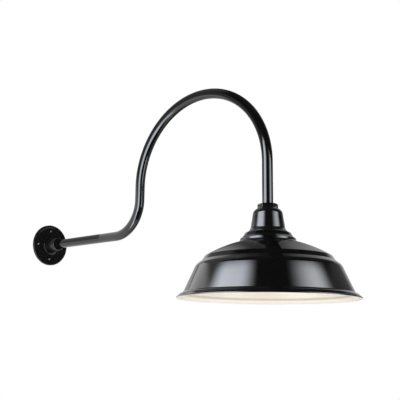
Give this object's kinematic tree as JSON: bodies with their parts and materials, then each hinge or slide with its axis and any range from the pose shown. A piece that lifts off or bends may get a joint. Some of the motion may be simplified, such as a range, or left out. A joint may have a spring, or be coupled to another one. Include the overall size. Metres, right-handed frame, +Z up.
{
  "type": "gooseneck wall light",
  "caption": "Gooseneck wall light: a cast flange and a bent steel arm hold a cast socket cap, a porcelain lampholder and a wide spun steel shade.",
  "frame": {"origin": "centre of the wall plane behind the flange, on the axis of the arm's level run", "axes": "+Y into the wall, -Y along the arm's level run, +Z up"},
  "size_m": [0.432, 1.07, 0.5669],
  "materials": {
    "gasket_rubber": "matt black foam rubber",
    "cast_black": "cast, satin black powder coat",
    "arm_black": "gloss black powder coat",
    "shade_black": "gloss black outside, cream white inside",
    "dark_steel": "black oxide",
    "zinc_steel": "zinc plate",
    "ground_green": "green dyed zinc plate",
    "brass": "drawn brass",
    "bushing_plastic": "moulded black plastic",
    "wire_black": "black insulation",
    "wire_white": "white insulation",
    "porcelain": "glazed porcelain"
  },
  "bodies": {
    "flange": {"wall_gasket": "gasket_rubber", "wall_flange": "cast_black", "ground_washer": "brass", "ground_screw": "ground_green"},
    "flange_screw": {"flange_set_screw": "dark_steel"},
    "arm": {"arm_tube": "arm_black", "wall_end_bushing": "bushing_plastic", "head_end_bushing": "bushing_plastic", "line_wire": "wire_black", "neutral_wire": "wire_white"},
    "head": {"socket_cap": "cast_black", "lampholder_top": "porcelain", "lampholder_body": "porcelain", "lampholder_shell": "brass", "contact_spring": "zinc_steel", "line_terminal": "brass", "neutral_terminal": "zinc_steel", "lampholder_screws": "zinc_steel", "lampholder_washers": "zinc_steel", "shade_gasket": "gasket_rubber", "shade": "shade_black", "shade_screws": "zinc_steel", "shade_washers": "zinc_steel"},
    "cap_screw": {"cap_set_screw": "dark_steel"},
    "contact": {"centre_contact": "brass"}
  },
  "joints": [
    {"name": "arm_turn", "type": "hinge", "parent": "flange", "child": "arm", "pos_m": [0, 0, 0], "axis": [0, 1, 0], "range_deg": [-45, 45]},
    {"name": "head_turn", "type": "hinge", "parent": "arm", "child": "head", "pos_m": [0, -0.854, 0], "axis": [0, 0, 1], "range_deg": [-180, 180]},
    {"name": "flange_screw_out", "type": "slide", "parent": "flange", "child": "flange_screw", "axis": [0, 0, -1], "range_m": [0, 0.005]},
    {"name": "cap_screw_out", "type": "slide", "parent": "head", "child": "cap_screw", "axis": [0.809, 0.5878, 0], "range_m": [0, 0.005]},
    {"name": "contact_press", "type": "slide", "parent": "head", "child": "contact", "axis": [0, 0, 1], "range_m": [0, 0.0015], "stiffness_N_per_m": 2500, "deforming": ["contact_spring"]}
  ]
}
